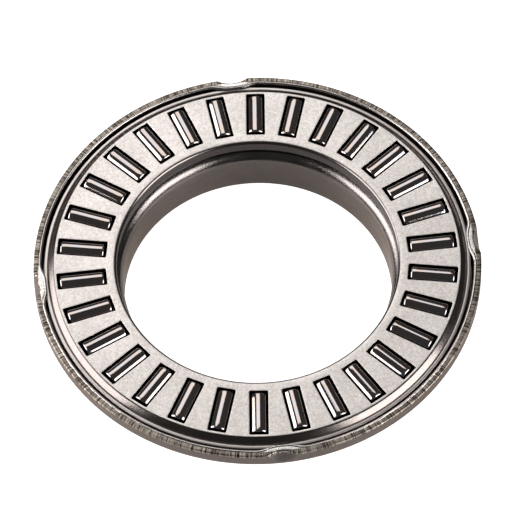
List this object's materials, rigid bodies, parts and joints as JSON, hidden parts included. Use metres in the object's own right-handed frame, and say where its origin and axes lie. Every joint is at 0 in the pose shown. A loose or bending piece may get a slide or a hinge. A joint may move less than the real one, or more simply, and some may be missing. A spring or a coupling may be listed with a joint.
{
  "type": "thrust needle roller bearing",
  "caption": "Thrust bearing: short cylindrical rollers lie radially in a flat two-piece steel cage, held by stakes inside a stamped race with an upturned rim and a downturned bore sleeve.",
  "frame": {"origin": "on the bearing's axis, in the plane of the lower end of the race's sleeve", "axes": "+Z along the bearing's axis, from the sleeve towards the rollers; +X through one of the four stakes and through roller_01"},
  "size_m": [0.069, 0.069, 0.0106],
  "materials": {
    "race_steel": "hardened stamped steel, dark grey, satin, with bright bends and a sheared top edge",
    "cage_steel": "light grey sheet steel, matt and finely grained, with a darker polished shoulder",
    "roller_steel": "ground and polished bearing steel"
  },
  "bodies": {
    "race": {"race": "race_steel"},
    "cage": {"cage_upper": "cage_steel", "cage_lower": "cage_steel"},
    "roller_01": {"roller_01": "roller_steel"},
    "roller_02": {"roller_02": "roller_steel"},
    "roller_03": {"roller_03": "roller_steel"},
    "roller_04": {"roller_04": "roller_steel"},
    "roller_05": {"roller_05": "roller_steel"},
    "roller_06": {"roller_06": "roller_steel"},
    "roller_07": {"roller_07": "roller_steel"},
    "roller_08": {"roller_08": "roller_steel"},
    "roller_09": {"roller_09": "roller_steel"},
    "roller_10": {"roller_10": "roller_steel"},
    "roller_11": {"roller_11": "roller_steel"},
    "roller_12": {"roller_12": "roller_steel"},
    "roller_13": {"roller_13": "roller_steel"},
    "roller_14": {"roller_14": "roller_steel"},
    "roller_15": {"roller_15": "roller_steel"},
    "roller_16": {"roller_16": "roller_steel"},
    "roller_17": {"roller_17": "roller_steel"},
    "roller_18": {"roller_18": "roller_steel"},
    "roller_19": {"roller_19": "roller_steel"},
    "roller_20": {"roller_20": "roller_steel"},
    "roller_21": {"roller_21": "roller_steel"},
    "roller_22": {"roller_22": "roller_steel"},
    "roller_23": {"roller_23": "roller_steel"},
    "roller_24": {"roller_24": "roller_steel"},
    "roller_25": {"roller_25": "roller_steel"},
    "roller_26": {"roller_26": "roller_steel"},
    "roller_27": {"roller_27": "roller_steel"},
    "roller_28": {"roller_28": "roller_steel"},
    "roller_29": {"roller_29": "roller_steel"},
    "roller_30": {"roller_30": "roller_steel"}
  },
  "joints": [
    {"name": "cage_spin", "type": "hinge", "parent": "race", "child": "cage", "pos_m": [0, 0, 0.00912], "axis": [0, 0, 1], "continuous": true},
    {"name": "roller_01_spin", "type": "hinge", "parent": "cage", "child": "roller_01", "pos_m": [0.0271, 0, 0.00912], "axis": [1, 0, 0], "continuous": true},
    {"name": "roller_02_spin", "type": "hinge", "parent": "cage", "child": "roller_02", "pos_m": [0.02651, 0.00563, 0.00912], "axis": [0.9781, 0.2079, 0], "continuous": true},
    {"name": "roller_03_spin", "type": "hinge", "parent": "cage", "child": "roller_03", "pos_m": [0.02476, 0.01102, 0.00912], "axis": [0.9135, 0.4067, 0], "continuous": true},
    {"name": "roller_04_spin", "type": "hinge", "parent": "cage", "child": "roller_04", "pos_m": [0.02192, 0.01593, 0.00912], "axis": [0.809, 0.5878, 0], "continuous": true},
    {"name": "roller_05_spin", "type": "hinge", "parent": "cage", "child": "roller_05", "pos_m": [0.01813, 0.02014, 0.00912], "axis": [0.6691, 0.7431, 0], "continuous": true},
    {"name": "roller_06_spin", "type": "hinge", "parent": "cage", "child": "roller_06", "pos_m": [0.01355, 0.02347, 0.00912], "axis": [0.5, 0.866, 0], "continuous": true},
    {"name": "roller_07_spin", "type": "hinge", "parent": "cage", "child": "roller_07", "pos_m": [0.00837, 0.02577, 0.00912], "axis": [0.309, 0.9511, 0], "continuous": true},
    {"name": "roller_08_spin", "type": "hinge", "parent": "cage", "child": "roller_08", "pos_m": [0.00283, 0.02695, 0.00912], "axis": [0.1045, 0.9945, 0], "continuous": true},
    {"name": "roller_09_spin", "type": "hinge", "parent": "cage", "child": "roller_09", "pos_m": [-0.00283, 0.02695, 0.00912], "axis": [-0.1045, 0.9945, 0], "continuous": true},
    {"name": "roller_10_spin", "type": "hinge", "parent": "cage", "child": "roller_10", "pos_m": [-0.00837, 0.02577, 0.00912], "axis": [-0.309, 0.9511, 0], "continuous": true},
    {"name": "roller_11_spin", "type": "hinge", "parent": "cage", "child": "roller_11", "pos_m": [-0.01355, 0.02347, 0.00912], "axis": [-0.5, 0.866, 0], "continuous": true},
    {"name": "roller_12_spin", "type": "hinge", "parent": "cage", "child": "roller_12", "pos_m": [-0.01813, 0.02014, 0.00912], "axis": [-0.6691, 0.7431, 0], "continuous": true},
    {"name": "roller_13_spin", "type": "hinge", "parent": "cage", "child": "roller_13", "pos_m": [-0.02192, 0.01593, 0.00912], "axis": [-0.809, 0.5878, 0], "continuous": true},
    {"name": "roller_14_spin", "type": "hinge", "parent": "cage", "child": "roller_14", "pos_m": [-0.02476, 0.01102, 0.00912], "axis": [-0.9135, 0.4067, 0], "continuous": true},
    {"name": "roller_15_spin", "type": "hinge", "parent": "cage", "child": "roller_15", "pos_m": [-0.02651, 0.00563, 0.00912], "axis": [-0.9781, 0.2079, 0], "continuous": true},
    {"name": "roller_16_spin", "type": "hinge", "parent": "cage", "child": "roller_16", "pos_m": [-0.0271, 0, 0.00912], "axis": [-1, 0, 0], "continuous": true},
    {"name": "roller_17_spin", "type": "hinge", "parent": "cage", "child": "roller_17", "pos_m": [-0.02651, -0.00563, 0.00912], "axis": [-0.9781, -0.2079, 0], "continuous": true},
    {"name": "roller_18_spin", "type": "hinge", "parent": "cage", "child": "roller_18", "pos_m": [-0.02476, -0.01102, 0.00912], "axis": [-0.9135, -0.4067, 0], "continuous": true},
    {"name": "roller_19_spin", "type": "hinge", "parent": "cage", "child": "roller_19", "pos_m": [-0.02192, -0.01593, 0.00912], "axis": [-0.809, -0.5878, 0], "continuous": true},
    {"name": "roller_20_spin", "type": "hinge", "parent": "cage", "child": "roller_20", "pos_m": [-0.01813, -0.02014, 0.00912], "axis": [-0.6691, -0.7431, 0], "continuous": true},
    {"name": "roller_21_spin", "type": "hinge", "parent": "cage", "child": "roller_21", "pos_m": [-0.01355, -0.02347, 0.00912], "axis": [-0.5, -0.866, 0], "continuous": true},
    {"name": "roller_22_spin", "type": "hinge", "parent": "cage", "child": "roller_22", "pos_m": [-0.00837, -0.02577, 0.00912], "axis": [-0.309, -0.9511, 0], "continuous": true},
    {"name": "roller_23_spin", "type": "hinge", "parent": "cage", "child": "roller_23", "pos_m": [-0.00283, -0.02695, 0.00912], "axis": [-0.1045, -0.9945, 0], "continuous": true},
    {"name": "roller_24_spin", "type": "hinge", "parent": "cage", "child": "roller_24", "pos_m": [0.00283, -0.02695, 0.00912], "axis": [0.1045, -0.9945, 0], "continuous": true},
    {"name": "roller_25_spin", "type": "hinge", "parent": "cage", "child": "roller_25", "pos_m": [0.00837, -0.02577, 0.00912], "axis": [0.309, -0.9511, 0], "continuous": true},
    {"name": "roller_26_spin", "type": "hinge", "parent": "cage", "child": "roller_26", "pos_m": [0.01355, -0.02347, 0.00912], "axis": [0.5, -0.866, 0], "continuous": true},
    {"name": "roller_27_spin", "type": "hinge", "parent": "cage", "child": "roller_27", "pos_m": [0.01813, -0.02014, 0.00912], "axis": [0.6691, -0.7431, 0], "continuous": true},
    {"name": "roller_28_spin", "type": "hinge", "parent": "cage", "child": "roller_28", "pos_m": [0.02192, -0.01593, 0.00912], "axis": [0.809, -0.5878, 0], "continuous": true},
    {"name": "roller_29_spin", "type": "hinge", "parent": "cage", "child": "roller_29", "pos_m": [0.02476, -0.01102, 0.00912], "axis": [0.9135, -0.4067, 0], "continuous": true},
    {"name": "roller_30_spin", "type": "hinge", "parent": "cage", "child": "roller_30", "pos_m": [0.02651, -0.00563, 0.00912], "axis": [0.9781, -0.2079, 0], "continuous": true}
  ],
  "couplings": [
    {"joint": "roller_01_spin", "follows": "cage_spin", "ratio": -18.067},
    {"joint": "roller_02_spin", "follows": "cage_spin", "ratio": -18.067},
    {"joint": "roller_03_spin", "follows": "cage_spin", "ratio": -18.067},
    {"joint": "roller_04_spin", "follows": "cage_spin", "ratio": -18.067},
    {"joint": "roller_05_spin", "follows": "cage_spin", "ratio": -18.067},
    {"joint": "roller_06_spin", "follows": "cage_spin", "ratio": -18.067},
    {"joint": "roller_07_spin", "follows": "cage_spin", "ratio": -18.067},
    {"joint": "roller_08_spin", "follows": "cage_spin", "ratio": -18.067},
    {"joint": "roller_09_spin", "follows": "cage_spin", "ratio": -18.067},
    {"joint": "roller_10_spin", "follows": "cage_spin", "ratio": -18.067},
    {"joint": "roller_11_spin", "follows": "cage_spin", "ratio": -18.067},
    {"joint": "roller_12_spin", "follows": "cage_spin", "ratio": -18.067},
    {"joint": "roller_13_spin", "follows": "cage_spin", "ratio": -18.067},
    {"joint": "roller_14_spin", "follows": "cage_spin", "ratio": -18.067},
    {"joint": "roller_15_spin", "follows": "cage_spin", "ratio": -18.067},
    {"joint": "roller_16_spin", "follows": "cage_spin", "ratio": -18.067},
    {"joint": "roller_17_spin", "follows": "cage_spin", "ratio": -18.067},
    {"joint": "roller_18_spin", "follows": "cage_spin", "ratio": -18.067},
    {"joint": "roller_19_spin", "follows": "cage_spin", "ratio": -18.067},
    {"joint": "roller_20_spin", "follows": "cage_spin", "ratio": -18.067},
    {"joint": "roller_21_spin", "follows": "cage_spin", "ratio": -18.067},
    {"joint": "roller_22_spin", "follows": "cage_spin", "ratio": -18.067},
    {"joint": "roller_23_spin", "follows": "cage_spin", "ratio": -18.067},
    {"joint": "roller_24_spin", "follows": "cage_spin", "ratio": -18.067},
    {"joint": "roller_25_spin", "follows": "cage_spin", "ratio": -18.067},
    {"joint": "roller_26_spin", "follows": "cage_spin", "ratio": -18.067},
    {"joint": "roller_27_spin", "follows": "cage_spin", "ratio": -18.067},
    {"joint": "roller_28_spin", "follows": "cage_spin", "ratio": -18.067},
    {"joint": "roller_29_spin", "follows": "cage_spin", "ratio": -18.067},
    {"joint": "roller_30_spin", "follows": "cage_spin", "ratio": -18.067}
  ]
}
